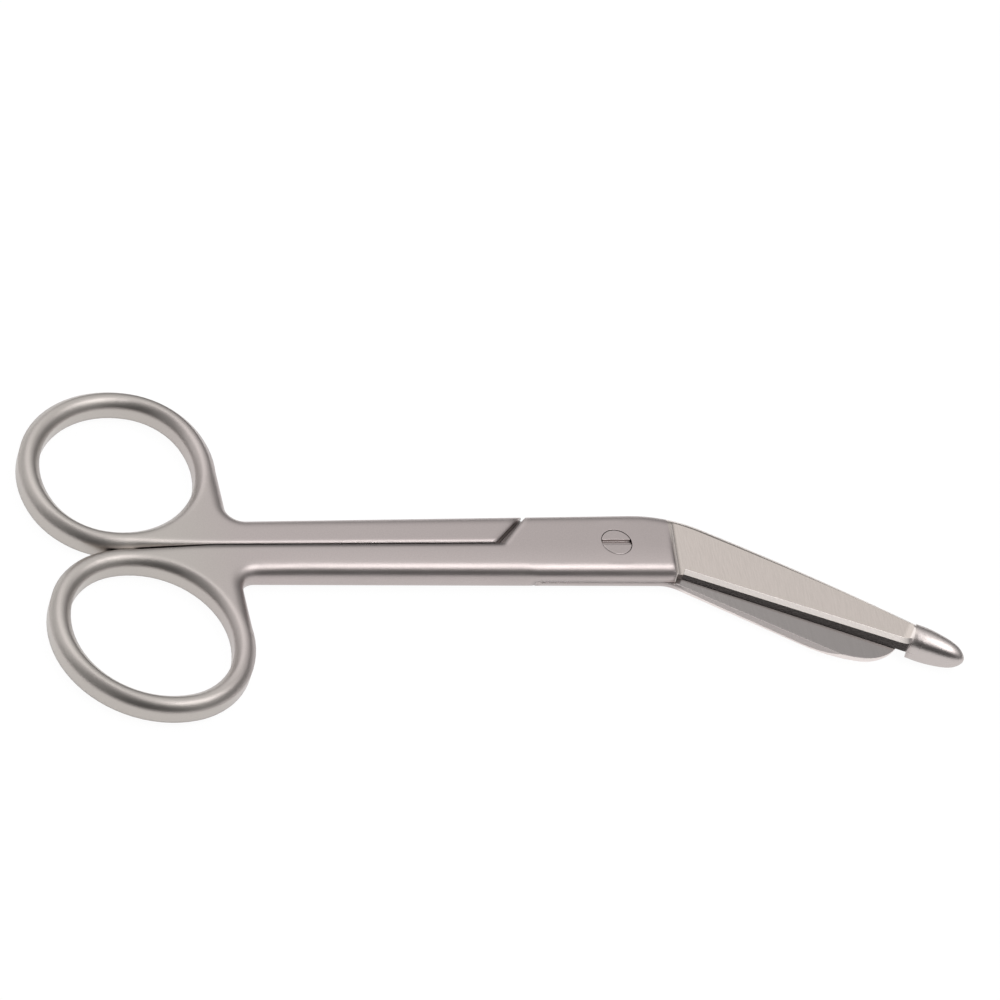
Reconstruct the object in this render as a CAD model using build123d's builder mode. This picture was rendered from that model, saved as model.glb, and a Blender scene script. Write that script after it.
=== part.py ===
from build123d import *
import os
from math import atan2, cos, degrees, radians, sin, tan

# Bandage scissors with a blunt probe on the long blade, lying closed on a table.
# The origin is on the pivot axis at the table, +X runs to the blades, +Z is up.
# The front half has the handle at -Y, the upper lap plate and the long probe blade.
# The back half has the handle at +Y, the lower lap plate and the short blade.

# The closed instrument
thickness = 4.2  # through both lapped halves, and through shanks, rings and webs
lap_clearance = 0.06  # between the flat inner faces of the two halves
parting_gap = 0.30  # between the closed shanks
ring_gap = 0.10  # between the rings where they meet
joint_half_width = 6.0  # from the pivot axis to the outer side
shank_taper = 0.75  # degrees that each outer side closes in towards the rings
side_round = 1.95  # rounding of the outer sides of shanks, joint and blade backs
overrun = 3.0  # how far each cutting solid runs past the metal

# The finger rings and their webs
ring_reach = 73.45  # from the pivot axis back to the ring centres
ring_offset = 15.0  # from the parting line out to each ring centre
ring_long_radius = 14.0  # half the long axis of the ring's centre line
ring_short_radius = 12.9  # half the short axis of the ring's centre line
ring_end_radius = 11.2  # of the oval's tighter arcs, at the ends of its long axis
ring_tilt = 51.0  # degrees from the parting line to the ring's long axis
ring_bar_width = 3.1  # of the bar that the ring is made of
ring_flank = 1.0  # of the slanted flanks on the bar's four edges, which leave a narrow crest
web_reach = 58.5  # from the pivot axis back to the web's outer side
heel_round = 2.4  # inner corner between the web and the shank
valley_length = 15.0  # over which the rings' flanks run out to square parting edges
valley_flank = 1.08  # of the run-out beside the ring, just over the ring's own flank

# The lap joint
plate_reach = 17.5  # from the pivot axis back to the lap plate's corner
plate_slant = 50.0  # degrees between the lap plate's end and the parting line
shoulder_gap = 1.4  # between the plate's corner and the shank's shoulder
shoulder_slant = 47.0  # degrees between the shoulder and the parting line
plate_root = 12.0  # how far the lap plate reaches back into its own shank

# The screw
screw_head_radius = 2.35
screw_head_height = 1.1
screw_shank_radius = 1.5
screw_running_clearance = 0.04  # around the head and the shank, and under the head
screw_slot_width = 0.95
screw_slot_depth = 0.45
screw_edge_chamfer = 0.10

# The long blade
bend_reach = 3.35  # from the pivot axis to the start of the far side's bend
bend_round = 21.9
bend_turn = 30.5  # degrees of the bend's arc
back_length = 34.9  # of the slightly bowed back, from the bend to the shoulder of the probe
back_turn = 4.8  # degrees that the back turns over that length
edge_angle = 24.2  # degrees that the cutting edge falls away from the parting line
edge_offset = 1.08  # from the pivot axis to the line of the cutting edge
edge_start = 9.5  # from the pivot axis to the start of the cutting edge
near_corner_reach = 8.3  # from the pivot axis to the end of the plate's near side
bevel_angle = 28.0  # degrees that the cutting bevel leans back from upright
bevel_break = 0.48  # bright facet between the cutting bevel and the ground face
blade_axis_angle = 28.0  # degrees of the middle line of blade and probe

# The ground outer face of the long blade
step_reach = 8.95  # from the pivot axis to the step's far end
step_far = 4.2  # from the parting line to the step's far end
step_slant = 4.5  # degrees between the step and the square across the joint
step_round = 1.0  # of the hollow at the step
grind_depth = 0.05  # of the ground face at the step's far end
grind_angle = 31.5  # degrees of the line along which the face is ground
grind_tilt = 7.0  # degrees that the face falls towards the cutting edge
grind_pitch = 0.3  # degrees that the face falls towards the probe
scallop_round = 2.9  # of the hollow that rises to the probe
scallop_reach = 1.6  # from the probe's shoulder to the end of that hollow

# The probe, with its half widths and half heights along its length
probe_length = 8.4
probe_half_width = 2.5
probe_half_height = 2.06
probe_corner_round = 1.4
probe_root = 1.5  # how far the blade reaches into the probe
probe_station_share = (0.0, 0.22, 0.46, 0.68, 0.86, 0.95, 1.0)
probe_width_share = (1.0, 0.99, 0.90, 0.76, 0.545, 0.33, 0.10)
probe_height_share = (1.0, 0.995, 0.935, 0.82, 0.61, 0.38, 0.13)

# The short blade
short_bend_reach = 7.55  # from the pivot axis to the corner of the near side's bend
short_bend_round = 5.0
short_back_angle = 32.1  # degrees that the straight part of the back falls away
short_back_length = 21.5  # of that straight part, from the bend's corner
belly_round = 24.2  # radius of the back's curve after the straight part
belly_turn = 21.2  # degrees of that curve
nose_round = 6.9
nose_turn = 66.0  # degrees of the nose's arc
tang_reach = 9.6  # from the pivot axis to the start of the short cutting edge
tang_drop = 4.26  # from the parting line to the start of the short cutting edge
tang_round = 8.5  # corner of the lower plate, hidden under the upper plate
land_root_reach = 8.5  # from the pivot axis to the start of the flat on the inner back edge
land_root_drop = 6.3  # from the parting line to that flat's inner rim, where it starts
land_angle = 31.2  # degrees that the rim falls away from the parting line
land_slope = 55.0  # degrees that the flat falls outwards
short_grind_tilt = 4.0  # degrees that the outer face rises towards the cutting edge
short_grind_pitch = 1.0  # degrees that the outer face rises towards the nose

layer = thickness / 2
upper_z = layer + lap_clearance / 2
lower_z = layer - lap_clearance / 2
parting_y = parting_gap / 2


def side_at(reach):
    """Distance of the straight outer side from the parting line, at a place along X."""
    return joint_half_width + reach * tan(radians(shank_taper))


def heading(angle):
    """Unit vector in the plan, at an angle in degrees below +X."""
    return Vector(cos(radians(angle)), -sin(radians(angle)), 0)


def across(angle):
    """Unit vector in the plan, square to heading(angle), towards the far side."""
    return Vector(sin(radians(angle)), cos(radians(angle)), 0)


def nearest_edge(solid, point):
    """The edge that passes closest to a point."""
    return solid.edges().sort_by_distance(point)[0]


def grinding_plane(origin, angle, pitch, tilt):
    """Plane of a ground face: local x along the blade, local y across it towards the far side."""
    along = heading(angle) - Vector(0, 0, tan(radians(pitch)))
    over = across(angle) + Vector(0, 0, tan(radians(tilt)))
    return Plane(origin=origin, x_dir=along, z_dir=along.cross(over))


# The ring's oval centre line, as four tangent arcs about these centres
ring_end_centre = ring_long_radius - ring_end_radius
ring_side_radius = (ring_short_radius**2 + ring_end_centre**2 - ring_end_radius**2) / (
    2 * (ring_short_radius - ring_end_radius)
)
ring_side_centre = ring_side_radius - ring_short_radius
ring_end_turn = degrees(atan2(ring_side_centre, ring_end_centre))


def oval(outset):
    """Face inside the ring's centre line, moved outwards by the outset."""
    end_radius = ring_end_radius + outset
    side_radius = ring_side_radius + outset
    with BuildSketch(mode=Mode.PRIVATE) as shape:
        with BuildLine():
            CenterArc((ring_end_centre, 0), end_radius, -ring_end_turn, 2 * ring_end_turn)
            CenterArc((0, -ring_side_centre), side_radius, ring_end_turn, 180 - 2 * ring_end_turn)
            CenterArc((-ring_end_centre, 0), end_radius, 180 - ring_end_turn, 2 * ring_end_turn)
            CenterArc((0, ring_side_centre), side_radius, 180 + ring_end_turn, 180 - 2 * ring_end_turn)
        make_face()
    return shape.sketch


# Finger ring: an oval loop with slanted flanks
with BuildPart() as ring:
    with BuildSketch():
        add(oval(ring_bar_width / 2))
        add(oval(-ring_bar_width / 2), mode=Mode.SUBTRACT)
    extrude(amount=thickness)
    chamfer(ring.edges().filter_by(GeomType.LINE, reverse=True), ring_flank)

ring_centre = Vector(-ring_reach, -ring_offset, 0)
valley_x = -(ring_reach + ring_bar_width)

# Cutter that lets the rings' flanks run out into the square parting edges
run_out = Plane(
    origin=(valley_x + valley_length, -parting_y, thickness),
    x_dir=(-valley_length, -valley_flank, 0),
    z_dir=(-valley_flank, valley_length, valley_length),
)
with BuildPart() as valley:
    with BuildSketch(run_out):
        Rectangle(2 * valley_length, 2 * valley_length)
    extrude(amount=overrun)
    mirror(about=Plane.XY.offset(layer))

shoulder_x = -(plate_reach + shoulder_gap)
shoulder_side_x = shoulder_x + joint_half_width / tan(radians(shoulder_slant))

# Handle that both halves share, as it lies in the front half: shank, web and ring
with BuildPart() as handle:
    with BuildSketch() as handle_outline:
        with BuildLine():
            Polyline(
                (valley_x, -parting_y),
                (shoulder_x, -parting_y),
                (shoulder_side_x, -side_at(shoulder_side_x)),
                (-web_reach, -side_at(-web_reach)),
                (-web_reach, ring_centre.Y - ring_bar_width / 2),
                (ring_centre.X, ring_centre.Y),
                close=True,
            )
        make_face()
        heel = handle_outline.vertices().sort_by_distance((-web_reach, -side_at(-web_reach)))[0]
        fillet(heel, heel_round)
    extrude(amount=thickness)
    middle_x = (shoulder_side_x - web_reach) / 2
    for height in (0, thickness):
        fillet(nearest_edge(handle, (middle_x, -side_at(middle_x), height)), side_round)
    add(valley.part, mode=Mode.SUBTRACT)
    with BuildSketch():
        with Locations(Location((ring_centre.X, ring_centre.Y, 0), (0, 0, -ring_tilt))):
            add(oval(0))
    extrude(amount=thickness, mode=Mode.SUBTRACT)
    add(ring.part.moved(Location((ring_centre.X, ring_centre.Y, 0), (0, 0, -ring_tilt))))
    with BuildSketch():
        with Locations((ring_centre.X, -ring_gap / 2)):
            Rectangle(2 * ring_long_radius, overrun, align=(Align.CENTER, Align.MIN))
    extrude(amount=thickness, mode=Mode.SUBTRACT)

# Places on the long blade
plate_root_x = -(plate_reach + plate_root)
plate_end_x = -(plate_reach + parting_y / tan(radians(plate_slant)))
plate_side_x = joint_half_width / tan(radians(plate_slant)) - plate_reach
near_corner = Vector(near_corner_reach, -side_at(near_corner_reach), 0)
edge_line = heading(edge_angle)
edge_root_y = -(edge_start * tan(radians(edge_angle)) + edge_offset / cos(radians(edge_angle)))
edge_root = Vector(edge_start, edge_root_y, 0)
axis_line = heading(blade_axis_angle)
side_line = Vector(cos(radians(shank_taper)), sin(radians(shank_taper)), 0)
with BuildLine() as long_back:
    bend = JernArc((bend_reach, side_at(bend_reach)), side_line, bend_round, -bend_turn)
    bow = JernArc(bend @ 1, bend % 1, back_length / radians(back_turn), -back_turn)
probe_far_side = bow @ 1
back_end = probe_far_side + (bow % 1) * probe_root
probe_centre = probe_far_side - across(blade_axis_angle) * probe_half_width
edge_length = (probe_root + (probe_centre - edge_root).dot(axis_line)) / edge_line.dot(axis_line)
edge_end = edge_root + edge_line * edge_length

# Probe: a blunt bullet through both layers
with BuildPart() as probe:
    for station, wide, high in zip(probe_station_share, probe_width_share, probe_height_share):
        place = probe_centre + axis_line * (probe_length * station) + Vector(0, 0, layer)
        with BuildSketch(Plane(origin=place, x_dir=across(blade_axis_angle), z_dir=axis_line)):
            RectangleRounded(
                2 * probe_half_width * wide, 2 * probe_half_height * high, probe_corner_round * wide
            )
    loft()

# Cutter that grinds the long blade's outer face, with a hollow at each end
ground = grinding_plane((step_reach, step_far, thickness - grind_depth), grind_angle, grind_pitch, grind_tilt)
scallop_end = ground.to_local_coords(probe_centre).X + scallop_reach
step_turn = radians(grind_angle - step_slant)
step_near = -2 * joint_half_width - overrun
with BuildPart() as long_grind:
    with BuildSketch(ground):
        with BuildLine():
            Polyline(
                (-overrun * sin(step_turn), overrun * cos(step_turn)),
                (-step_near * sin(step_turn), step_near * cos(step_turn)),
                (scallop_end, step_near),
                (scallop_end, overrun),
                close=True,
            )
        make_face()
    extrude(amount=overrun)
    scallop_foot = ground.from_local_coords(Vector(scallop_end, 0, 0))
    fillet(nearest_edge(long_grind, scallop_foot), scallop_round)
    fillet(nearest_edge(long_grind, ground.origin), step_round)

# Long blade with the upper lap plate and the probe
bevel = Plane(
    origin=edge_root + Vector(0, 0, upper_z),
    x_dir=edge_line,
    z_dir=Vector(0, 0, sin(radians(bevel_angle))) - across(edge_angle) * cos(radians(bevel_angle)),
)
with BuildPart() as near_side:
    with BuildSketch(Plane.XY.offset(upper_z)):
        with BuildLine():
            Polyline(
                (plate_root_x, -parting_y),
                (near_corner.X, -parting_y),
                (near_corner.X, near_corner.Y),
                (plate_root_x, -side_at(plate_root_x)),
                close=True,
            )
        make_face()
    extrude(amount=thickness - upper_z)
    fillet(nearest_edge(near_side, (0, -side_at(0), thickness)), side_round)
with BuildPart() as long_blade:
    with BuildSketch(Plane.XY.offset(upper_z)):
        with BuildLine():
            add(long_back.line)
            Polyline(
                bow @ 1,
                (back_end.X, back_end.Y),
                (edge_end.X, edge_end.Y),
                (edge_root.X, edge_root.Y),
                (near_corner.X, edge_root.Y),
                (near_corner.X, -parting_y),
                (plate_end_x, -parting_y),
                (plate_side_x, side_at(plate_side_x)),
                bend @ 0,
            )
        make_face()
    extrude(amount=thickness - upper_z)
    fillet(nearest_edge(long_blade, (0, side_at(0), thickness)), side_round)
    with BuildSketch(bevel):
        with Locations((edge_length / 2, 0)):
            Rectangle(edge_length, 2 * thickness)
    extrude(amount=overrun, mode=Mode.SUBTRACT)
    add(near_side.part)
    add(probe.part)
    add(long_grind.part, mode=Mode.SUBTRACT)
    edge_middle = edge_root + edge_line * (edge_length / 2) + Vector(0, 0, upper_z)
    bevel_rise = -ground.to_local_coords(edge_middle).Z
    bevel_width = bevel_rise * tan(radians(bevel_angle))
    bevel_top = edge_middle + across(edge_angle) * bevel_width + Vector(0, 0, bevel_rise)
    chamfer(nearest_edge(long_blade, bevel_top), bevel_break)

# Front half: the handle forged in one with the lap plate and the long blade
head_bore = screw_head_radius + screw_running_clearance
shank_bore = screw_shank_radius + screw_running_clearance
head_seat_z = thickness - screw_head_height - screw_running_clearance
with BuildPart() as front_half:
    add(handle.part)
    add(long_blade.part)
    with Locations((0, 0, thickness)):
        CounterBoreHole(shank_bore, head_bore, thickness - head_seat_z)

# Places on the short blade
short_corner = Vector(short_bend_reach, -side_at(short_bend_reach), 0)
short_back_end = short_corner + heading(short_back_angle) * short_back_length
tang = Vector(tang_reach, -tang_drop, 0)
land_start = Vector(land_root_reach, -land_root_drop, lower_z)

# Cutter that grinds the short blade's outer face, with a hollow at the step
short_ground = grinding_plane(
    (step_reach, -step_far, 0), blade_axis_angle, -short_grind_pitch, short_grind_tilt
)
short_step_turn = radians(blade_axis_angle + step_slant)
grind_length = back_length + overrun
with BuildPart() as short_grind:
    with BuildSketch(short_ground):
        with BuildLine():
            Polyline(
                (step_near * sin(short_step_turn), -step_near * cos(short_step_turn)),
                (-step_near * sin(short_step_turn), step_near * cos(short_step_turn)),
                (grind_length, step_near * cos(short_step_turn)),
                (grind_length, -step_near * cos(short_step_turn)),
                close=True,
            )
        make_face()
    extrude(amount=-overrun)
    fillet(nearest_edge(short_grind, short_ground.origin), step_round)

# Short blade with the lower lap plate
with BuildPart() as short_blade:
    with BuildSketch() as short_outline:
        with BuildLine():
            back = Polyline(
                (plate_root_x, side_at(plate_root_x)),
                (plate_root_x, parting_y),
                (plate_end_x, parting_y),
                (plate_side_x, -side_at(plate_side_x)),
                (short_corner.X, short_corner.Y),
                (short_back_end.X, short_back_end.Y),
            )
            belly = JernArc(back @ 1, back % 1, belly_round, belly_turn)
            nose = JernArc(belly @ 1, belly % 1, nose_round, nose_turn)
            Polyline(
                nose @ 1,
                (tang.X, tang.Y),
                (tang.X, side_at(tang_reach)),
                (plate_root_x, side_at(plate_root_x)),
            )
        make_face()
        fillet(short_outline.vertices().sort_by_distance(short_corner)[0], short_bend_round)
        fillet(short_outline.vertices().sort_by_distance((tang_reach, side_at(tang_reach)))[0], tang_round)
    extrude(amount=lower_z)
    fillet(nearest_edge(short_blade, (0, side_at(0), 0)), side_round)
    fillet(nearest_edge(short_blade, (0, -side_at(0), 0)), side_round)
    short_edge = (nose @ 1) - tang
    short_edge_line = short_edge.normalized()
    short_edge_across = Vector(-short_edge_line.Y, short_edge_line.X, 0)
    short_bevel = Plane(
        origin=tang + Vector(0, 0, lower_z),
        x_dir=short_edge_line,
        z_dir=short_edge_across * cos(radians(bevel_angle)) - Vector(0, 0, sin(radians(bevel_angle))),
    )
    with BuildSketch(short_bevel):
        with Locations(((short_edge.length + overrun) / 2, 0)):
            Rectangle(short_edge.length + overrun, 2 * thickness)
    extrude(amount=overrun, mode=Mode.SUBTRACT)
    add(short_grind.part, mode=Mode.SUBTRACT)
    with BuildSketch(grinding_plane(land_start, land_angle, 0, land_slope)):
        with Locations((grind_length / 2, 0)):
            Rectangle(grind_length, 2 * overrun)
    extrude(amount=overrun, mode=Mode.SUBTRACT)

# Back half: the same handle turned over, forged in one with the lower plate and the short blade
with BuildPart() as back_half:
    add(handle.part.rotate(Axis((0, 0, layer), (1, 0, 0)), 180))
    add(short_blade.part)
    with Locations((0, 0, layer)):
        Hole(screw_shank_radius)

# Screw, turned tight into the back half, with its end ground flush
with BuildPart() as screw:
    Cylinder(screw_shank_radius, thickness, align=(Align.CENTER, Align.CENTER, Align.MIN))
    with Locations((0, 0, thickness)):
        Cylinder(screw_head_radius, screw_head_height, align=(Align.CENTER, Align.CENTER, Align.MAX))
    chamfer(screw.edges().group_by(Axis.Z)[-1], screw_edge_chamfer)
    with BuildSketch(Plane.XY.offset(thickness)):
        Rectangle(2 * screw_head_radius, screw_slot_width)
    extrude(amount=-screw_slot_depth, mode=Mode.SUBTRACT)

front_half.part.label = "front_half"
back_half.part.label = "back_half"
screw.part.label = "screw"
os.makedirs("parts", exist_ok=True)
export_step(front_half.part, "parts/front_half.step")
export_step(back_half.part, "parts/back_half.step")
export_step(screw.part, "parts/screw.step")
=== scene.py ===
from collections import namedtuple
from math import cos, radians, sin

import bpy
from mathutils import Matrix, Vector


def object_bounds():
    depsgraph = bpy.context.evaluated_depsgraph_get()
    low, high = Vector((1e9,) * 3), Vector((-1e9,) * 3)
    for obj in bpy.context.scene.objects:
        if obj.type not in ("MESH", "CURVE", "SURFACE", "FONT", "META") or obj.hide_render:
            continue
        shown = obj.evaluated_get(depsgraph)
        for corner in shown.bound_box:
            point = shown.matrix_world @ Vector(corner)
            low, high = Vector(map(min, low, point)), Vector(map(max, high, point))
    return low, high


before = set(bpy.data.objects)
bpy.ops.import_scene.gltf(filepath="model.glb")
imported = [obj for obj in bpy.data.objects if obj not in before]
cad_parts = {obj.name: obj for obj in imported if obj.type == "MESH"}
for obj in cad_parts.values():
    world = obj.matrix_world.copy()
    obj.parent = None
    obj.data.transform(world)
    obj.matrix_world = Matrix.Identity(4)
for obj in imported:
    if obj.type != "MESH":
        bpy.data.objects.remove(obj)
cad_low, cad_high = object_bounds()

# --- Camera ---
# It looks down at the closed scissors from the side that the blades bend to, from 0.8 m away.
# A long lens keeps the perspective slight. Lengths in this file are in metres.
camera_distance = 0.7996
camera_tilt = radians(46.24)  # below the horizontal
camera_turn = radians(27.93)  # from the Y axis towards the X axis
camera_roll = radians(20.80)
pivot_right = 0.02164  # place of the pivot in the picture, from its middle, as a share of the distance
pivot_up = -0.00777
pivot_top = Vector((0, 0, cad_high.z))
level = Vector((cos(camera_turn), -sin(camera_turn), 0))
ahead = Vector((sin(camera_turn) * cos(camera_tilt), cos(camera_turn) * cos(camera_tilt), -sin(camera_tilt)))
above = level.cross(ahead)
frame_right = level * cos(camera_roll) + above * sin(camera_roll)
frame_up = above * cos(camera_roll) - level * sin(camera_roll)
lens = bpy.data.cameras.new("camera")
lens.sensor_width = 36
lens.lens = 194.6
lens.clip_start = 0.01
camera = bpy.data.objects.new("camera", lens)
bpy.context.scene.collection.objects.link(camera)
camera.matrix_world = Matrix((frame_right, frame_up, -ahead)).transposed().to_4x4()
camera.location = pivot_top - camera_distance * (ahead + pivot_right * frame_right + pivot_up * frame_up)
bpy.context.scene.camera = camera
bpy.context.scene.view_settings.view_transform = "Standard"

# --- Table and light ---
# The scissors lie on a white table in a pale tent. The tent is dark on the viewer's side,
# and a large soft lamp hangs over the blades. From below, the table can be looked through.


def plug_in(tree, node, plugs):
    """Link each input of a node to a socket, or set it to a value."""
    for plug, value in plugs.items():
        if isinstance(value, bpy.types.NodeSocket):
            tree.links.new(value, node.inputs[plug])
        else:
            node.inputs[plug].default_value = value


def new_node(tree, kind, plugs=None, **settings):
    """New node with its settings, and its inputs linked or set."""
    node = tree.nodes.new(kind)
    for name, value in settings.items():
        setattr(node, name, value)
    plug_in(tree, node, plugs or {})
    return node


def combined(tree, operation, first, second):
    """Product of two sockets or numbers, or the greater of them."""
    return new_node(tree, "ShaderNodeMath", {0: first, 1: second}, operation=operation).outputs[0]


def along(tree, vector, direction):
    """How far a vector reaches in a direction."""
    reach = new_node(tree, "ShaderNodeVectorMath", {0: vector, 1: direction}, operation="DOT_PRODUCT")
    return reach.outputs["Value"]


def spread(tree, value, start, end, low, high, kind="LINEAR"):
    """Number that goes from low to high while a value goes from start to end."""
    plugs = {"Value": value, "From Min": start, "From Max": end, "To Min": low, "To Max": high}
    return new_node(tree, "ShaderNodeMapRange", plugs, interpolation_type=kind).outputs[0]


def lobe(tree, sky, centre, outer, inner, outside, inside):
    """Light that goes from outside to inside within a soft-edged circle of the sky, in degrees."""
    nearness = along(tree, sky, Vector(centre).normalized())
    return spread(tree, nearness, cos(radians(outer)), cos(radians(inner)), outside, inside, "SMOOTHSTEP")


table_half = 0.8
table_drop = 0.00003  # keeps it clear of the undersides that lie on it
table_white = (0.85, 0.85, 0.85, 1)
table_seen = 1.06  # light of the white that the camera and the metal see
table_seen_share = 0.9  # the rest shows the soft shadow
table_mesh = bpy.data.meshes.new("table")
corners = [(x * table_half, y * table_half, 0) for x, y in ((-1, -1), (1, -1), (1, 1), (-1, 1))]
table_mesh.from_pydata(corners, [], [(0, 1, 2, 3)])
table = bpy.data.objects.new("table", table_mesh)
bpy.context.scene.collection.objects.link(table)
table.location.z = -table_drop
table_paint = bpy.data.materials.new("white table")
table_paint.use_nodes = True
tree = table_paint.node_tree
tree.nodes.clear()
matt = new_node(tree, "ShaderNodeBsdfDiffuse", {"Color": table_white})
white = new_node(tree, "ShaderNodeEmission", {"Strength": table_seen})
rays = new_node(tree, "ShaderNodeLightPath").outputs
mirrored = combined(tree, "MAXIMUM", rays["Is Glossy Ray"], rays["Is Transmission Ray"])
seen = combined(tree, "MAXIMUM", rays["Is Camera Ray"], mirrored)
share = combined(tree, "MULTIPLY", seen, table_seen_share)
paint = new_node(tree, "ShaderNodeMixShader", {0: share, 1: matt.outputs[0], 2: white.outputs[0]})
from_below = new_node(tree, "ShaderNodeNewGeometry").outputs["Backfacing"]
clear = new_node(tree, "ShaderNodeBsdfTransparent")
sheet = new_node(tree, "ShaderNodeMixShader", {0: from_below, 1: paint.outputs[0], 2: clear.outputs[0]})
new_node(tree, "ShaderNodeOutputMaterial", {"Surface": sheet.outputs[0]})
table_mesh.materials.append(table_paint)

# Direction, outer and inner edge in degrees, and strength outside and inside, of each part of the tent
tent_lobes = (
    ((0.10, 0.15, 0.98), 60, 12, 0.42, 0.66),  # the ceiling
    ((0.36, -0.08, 0.93), 48, 12, 0.95, 1.75),  # its glow around the lamp
    ((-0.45, 0.72, 0.53), 58, 20, 1.0, 3.0),  # the lit back wall
    ((-0.15, -0.82, 0.52), 38, 26, 1.0, 0.3),  # the dark opening on the viewer's side
    ((-0.26, 0.02, 0.96), 20, 8, 1.0, 0.4),  # a darker strip overhead
    ((0, 0, 1), 88, 66, 0.5, 1.0),  # the walls, dimmer down at the table
    ((0, 0, -1), 88, 70, 1.0, 3.2),  # the light from below the table
)
world = bpy.data.worlds.new("tent")
bpy.context.scene.world = world
world.use_nodes = True
tree = world.node_tree
tree.nodes.clear()
sky = new_node(tree, "ShaderNodeTexCoord").outputs["Generated"]
strength = 1.0
for tent_lobe in tent_lobes:
    strength = combined(tree, "MULTIPLY", lobe(tree, sky, *tent_lobe), strength)
tent = new_node(tree, "ShaderNodeBackground", {"Strength": strength})
white = new_node(tree, "ShaderNodeBackground")
camera_ray = new_node(tree, "ShaderNodeLightPath").outputs["Is Camera Ray"]
backdrop = new_node(tree, "ShaderNodeMixShader", {0: camera_ray, 1: tent.outputs[0], 2: white.outputs[0]})
new_node(tree, "ShaderNodeOutputWorld", {"Surface": backdrop.outputs[0]})

lamp_light = bpy.data.lights.new("soft lamp", "AREA")
lamp_light.shape = "ELLIPSE"
lamp_light.size = 0.7
lamp_light.size_y = 0.42
lamp_light.energy = 1.6
lamp = bpy.data.objects.new("soft lamp", lamp_light)
bpy.context.scene.collection.objects.link(lamp)
lamp_distance = 0.9
lamp_way = Vector((0.35, -0.18, 0.92)).normalized()
lamp.location = lamp_way * lamp_distance
lamp.rotation_mode = "QUATERNION"
lamp.rotation_quaternion = lamp_way.to_track_quat("Z", "Y")

# --- Front half ---
# The handle, the upper lap plate, the long blade and its probe are one forging of stainless steel.
# It is blasted to a satin. The blade is then ground finer, its edge is stoned and the probe polished.
satin = (0.50, 0.444, 0.434)
satin_roughness = 0.34
rubbed_roughness = 0.24
# Near-black colour of the painted shade in creases and in the gaps between the parts
crevice_shade_colour = (0.03, 0.028, 0.027)
crevice_reach = 0.0009
dressed_edge = 0.0012  # rounding of the edges of a handle
ring_edge = 0.0014
crisp_edge = 0.0001
ring_start = 0.062  # from the pivot back to the finger ring
up = Vector((0, 0, 1))
blade_turn = radians(28)  # of the middle line of blade and probe
blade_way = Vector((cos(blade_turn), -sin(blade_turn), 0))
step_turn = radians(4.5)  # of the step between the plate and the ground face
step_way = Vector((cos(step_turn), -sin(step_turn), 0))
step_reach = 0.0086
step_soft = 0.0001
bevel_reach = 0.0090
probe_reach = 0.0462
probe_soft = 0.0006
probe_across = Vector((sin(blade_turn), cos(blade_turn), 0))
probe_crown = 0.0054  # from the pivot, across, to the line where the probe's top is level
probe_crown_half = 0.0015
handle_rim = -0.0066  # y of the outer rim of the handle's crowned near side
handle_ridge = 0.0002  # y where that side starts to fall
handle_back = -0.054  # x where the finger ring begins
handle_front = 0.0083  # along step_way, just before the step
seat_radius = 0.0058  # of the sharp-edged flat around the screw
seat_soft = 0.0005
# A zone's roughness of None keeps that of the blasted steel. Strokes are the wheel's, along the blade.
Zone = namedtuple("Zone", "share colour roughness edge strokes")


def past(tree, vector, direction, limit, soft):
    """0 before a limit along a direction and 1 past it."""
    return spread(tree, along(tree, vector, direction), limit - soft, limit + soft, 0, 1, "SMOOTHSTEP")


def mixed(tree, kind, share, first, second):
    """Mix of two colours or two numbers, each a socket or a value."""
    ending = "_Color" if kind == "RGBA" else "_Float"
    node = new_node(tree, "ShaderNodeMix", data_type=kind)
    order = [plug.identifier for plug in node.inputs]
    values = {"Factor_Float": share, "A" + ending: first, "B" + ending: second}
    plug_in(tree, node, {order.index(name): value for name, value in values.items()})
    return next(plug for plug in node.outputs if plug.identifier == "Result" + ending)


def speckle(tree, vector, scale, detail, low=0.0, high=1.0):
    """Noise whose middle range is spread from low to high."""
    noise = new_node(tree, "ShaderNodeTexNoise", {"Vector": vector, "Scale": scale, "Detail": detail})
    return spread(tree, noise.outputs["Fac"], start=0.3, end=0.7, low=low, high=high)


def shaded(colour, amount):
    """Colour made darker or brighter, with its alpha."""
    return tuple(amount * part for part in colour) + (1,)


def leaned(tree, normal, way, amount):
    """Normal that leans over towards a direction."""
    sideways = new_node(tree, "ShaderNodeVectorMath", {0: way, "Scale": amount}, operation="SCALE")
    total = new_node(tree, "ShaderNodeVectorMath", {0: normal, 1: sideways.outputs[0]}, operation="ADD")
    return new_node(tree, "ShaderNodeVectorMath", {0: total.outputs[0]}, operation="NORMALIZE").outputs[0]


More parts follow.
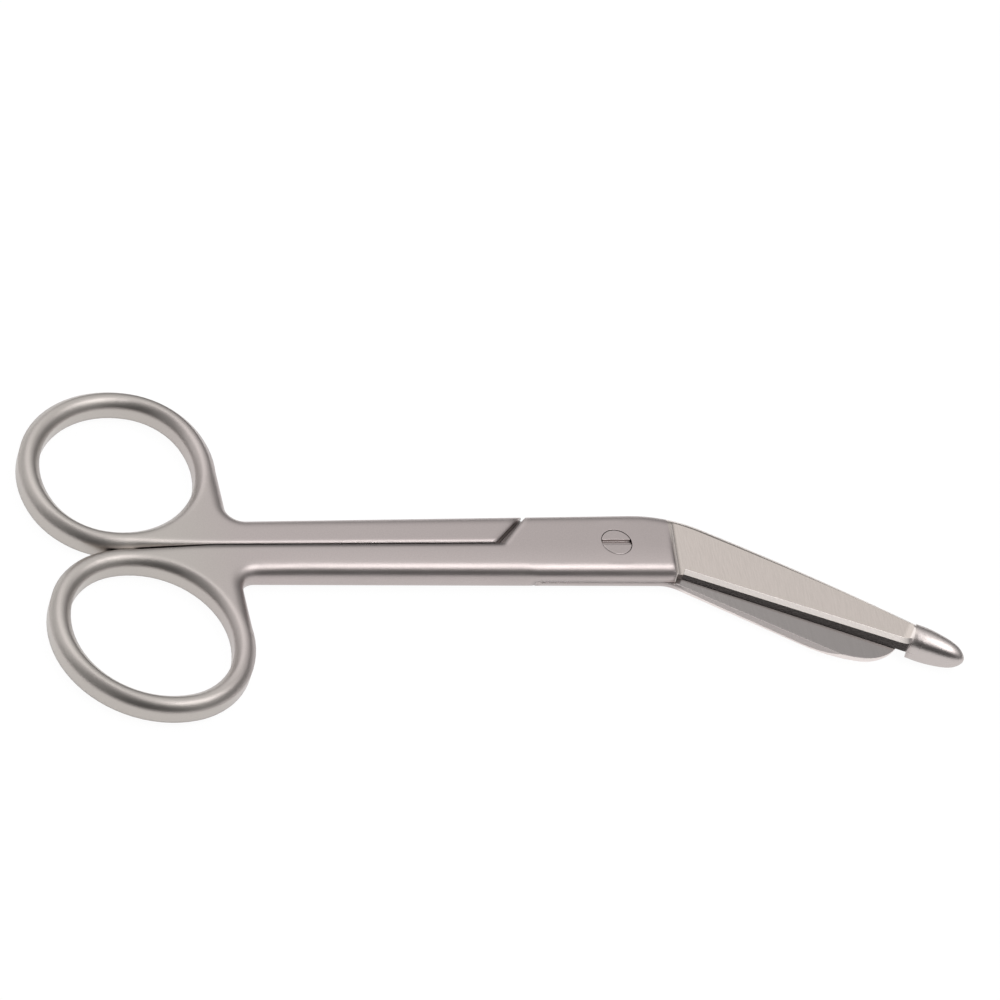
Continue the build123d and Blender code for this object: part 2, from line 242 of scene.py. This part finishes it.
def steel(name, roughness, edge, zones=(), crown=None):
    """Blasted steel with softened, rubbed edges and painted shade darkening its crevices, and with zones
    finished in other ways.
    """
    finish = bpy.data.materials.new(name)
    finish.use_nodes = True
    tree = finish.node_tree
    tree.nodes.clear()
    place = new_node(tree, "ShaderNodeTexCoord").outputs["Object"]
    facing = new_node(tree, "ShaderNodeNewGeometry").outputs["Normal"]
    grain = speckle(tree, place, scale=4500, detail=3)
    cloud = speckle(tree, place, scale=120, detail=2, low=roughness - 0.03, high=roughness + 0.03)
    tone = mixed(tree, "RGBA", grain, shaded(satin, 0.95), shaded(satin, 1.04))
    gloss, relief, radius = cloud, grain, edge
    for lay_out in zones:
        zone = lay_out(tree, place, facing)
        texture = grain
        if zone.strokes:
            turned = {"Vector": place, "Rotation": (0, 0, -blade_turn), "Scale": (1, 0.03, 1)}
            drawn_out = new_node(tree, "ShaderNodeMapping", turned).outputs[0]
            texture = speckle(tree, drawn_out, scale=5000, detail=2)
        zone_tone = mixed(tree, "RGBA", texture, shaded(zone.colour, 0.97), shaded(zone.colour, 1.03))
        tone = mixed(tree, "RGBA", zone.share, tone, zone_tone)
        gloss = mixed(tree, "FLOAT", zone.share, gloss, zone.roughness or cloud)
        relief = mixed(tree, "FLOAT", zone.share, relief, texture)
        radius = mixed(tree, "FLOAT", zone.share, radius, zone.edge)
    rounded = new_node(tree, "ShaderNodeBevel", {"Radius": radius}, samples=10).outputs[0]
    sameness = along(tree, rounded, facing)
    rubbed = spread(tree, sameness, start=0.99, end=0.85, low=0, high=0.6, kind="SMOOTHSTEP")
    tone = mixed(tree, "RGBA", rubbed, tone, shaded(satin, 1.15))
    gloss = mixed(tree, "FLOAT", rubbed, gloss, rubbed_roughness)
    # Painted shade: the colour goes near black where ambient occlusion finds other surfaces close by, in
    # creases and gaps.
    openness = new_node(tree, "ShaderNodeAmbientOcclusion", {"Distance": crevice_reach}, samples=16)
    in_the_open = spread(tree, openness.outputs["AO"], start=0.1, end=0.65, low=0, high=1, kind="SMOOTHSTEP")
    underside = past(tree, facing, -up, 0.9, soft=0.05)  # it meets the table, and gets no painted crevice shade
    unshaded = combined(tree, "MAXIMUM", in_the_open, underside)
    tone = mixed(tree, "RGBA", unshaded, shaded(crevice_shade_colour, 1), tone)
    normal = crown(tree, place, rounded) if crown else rounded
    bumps = {"Strength": 0.12, "Distance": 0.00002, "Height": relief, "Normal": normal}
    bumped = new_node(tree, "ShaderNodeBump", bumps).outputs["Normal"]
    metal = {"Metallic": 1.0, "Base Color": tone, "Roughness": gloss, "Normal": bumped}
    body = new_node(tree, "ShaderNodeBsdfPrincipled", metal)
    new_node(tree, "ShaderNodeOutputMaterial", {"Surface": body.outputs[0]})
    return finish


def finish_with(name, finish):
    """Give a piece of the frame its finish."""
    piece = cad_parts[name]
    piece.data.materials.clear()
    piece.data.materials.append(finish)


def finger_ring(tree, place, facing):
    """The finger ring, whose edges are dressed rounder than the shank's."""
    on_ring = past(tree, place, (-1, 0, 0), ring_start, soft=0.008)
    return Zone(on_ring, colour=(0.51, 0.474, 0.445), roughness=None, edge=ring_edge, strokes=False)


def screw_seat(tree, place, facing):
    """The flat of the plate around the screw, whose bore has a sharp edge."""
    reach = new_node(tree, "ShaderNodeVectorMath", {0: place}, operation="LENGTH").outputs["Value"]
    near = spread(tree, reach, seat_radius + seat_soft, seat_radius, low=0, high=1, kind="SMOOTHSTEP")
    return Zone(near, colour=satin, roughness=None, edge=crisp_edge, strokes=False)


def ground_face(tree, place, facing):
    """The long blade's upper face, from the step at the joint to the probe."""
    past_step = past(tree, place, step_way, step_reach, step_soft)
    upward = past(tree, facing, up, 0.80, soft=0.03)
    ground = combined(tree, "MULTIPLY", past_step, upward)
    return Zone(ground, colour=(0.53, 0.477, 0.443), roughness=0.27, edge=crisp_edge, strokes=True)


def bevel_break_highlight(tree, place, facing):
    """The narrow stoned flat between the face and the bevel, rough so that it scatters the light, and
    painted far brighter than the steel as a painted highlight line.
    """
    past_step = past(tree, place, step_way, step_reach, step_soft)
    leaning = past(tree, facing, -up, -0.93, soft=0.02)
    highlit_break = combined(tree, "MULTIPLY", past_step, leaning)
    return Zone(highlit_break, colour=(0.97, 0.90, 0.86), roughness=0.46, edge=crisp_edge, strokes=True)


def cutting_bevel(tree, place, facing):
    """The steep bevel down to the cutting edge, which stays sharp, and is painted darker than the steel as
    painted shade.
    """
    past_step = past(tree, place, step_way, bevel_reach, step_soft)
    leaning = past(tree, facing, -up, -0.75, soft=0.05)
    steep = combined(tree, "MULTIPLY", past_step, leaning)
    return Zone(steep, colour=(0.36, 0.32, 0.31), roughness=0.25, edge=crisp_edge / 2, strokes=True)


def probe_zone(tree, place, facing):
    """The polished probe."""
    on_probe = past(tree, place, blade_way, probe_reach, probe_soft)
    return Zone(on_probe, colour=(0.56, 0.51, 0.495), roughness=0.30, edge=ring_edge, strokes=True)


def crowned(tree, place, normal):
    """Normal that leans outwards on the handle's crowned near side, and over the crown of the probe."""
    on_probe = past(tree, place, blade_way, probe_reach, probe_soft)
    offset = along(tree, place, probe_across)
    near, far = probe_crown - probe_crown_half, probe_crown + probe_crown_half
    lean = spread(tree, offset, near, far, low=-0.45, high=0.35)
    round_probe = leaned(tree, normal, probe_across, combined(tree, "MULTIPLY", lean, on_probe))
    side = new_node(tree, "ShaderNodeSeparateXYZ", {0: place}).outputs["Y"]
    fall = spread(tree, side, handle_ridge, handle_rim, low=0, high=0.17, kind="SMOOTHSTEP")
    before_step = past(tree, place, -step_way, -handle_front, soft=0.0002)
    after_ring = past(tree, place, (1, 0, 0), handle_back, soft=0.006)
    on_handle = combined(tree, "MULTIPLY", before_step, after_ring)
    return leaned(tree, round_probe, (0, -1, 0), combined(tree, "MULTIPLY", fall, on_handle))


front_zones = (finger_ring, screw_seat, ground_face, bevel_break_highlight, cutting_bevel, probe_zone)
finish_with("front_half", steel("front half steel", satin_roughness, dressed_edge, front_zones, crowned))

# --- Back half ---
# The second forging, with the lower lap plate and the short blade, in the same steel and finish.
# Its flat inner face is ground for the other blade to slide on.
short_blade_reach = 0.0095
plate_top = 0.003  # height that the inner face lies below


def short_blade(tree, place, facing):
    """The short blade's flank, left rough from the wheel, and painted much lighter than the steel as painted
    light.
    """
    flank = past(tree, place, step_way, short_blade_reach, soft=0.001)
    return Zone(flank, colour=(0.92, 0.85, 0.83), roughness=0.60, edge=crisp_edge, strokes=False)


def inner_face(tree, place, facing):
    """The flat face that the long blade slides over."""
    upward = past(tree, facing, up, 0.995, soft=0.002)
    below_top = past(tree, place, -up, -plate_top, soft=0.0002)
    flat = combined(tree, "MULTIPLY", upward, below_top)
    return Zone(flat, colour=(0.40, 0.37, 0.36), roughness=0.18, edge=crisp_edge, strokes=True)


back_zones = (finger_ring, short_blade, inner_face)
finish_with("back_half", steel("back half steel", satin_roughness, dressed_edge, back_zones))

# --- Screw ---
# A turned screw of the same steel, with a slot. It holds the two halves together, and its head
# is ground flush with the joint once it is tight.
screw_roughness = 0.32
screw_edge = 0.00015
finish_with("screw", steel("screw steel", screw_roughness, screw_edge))
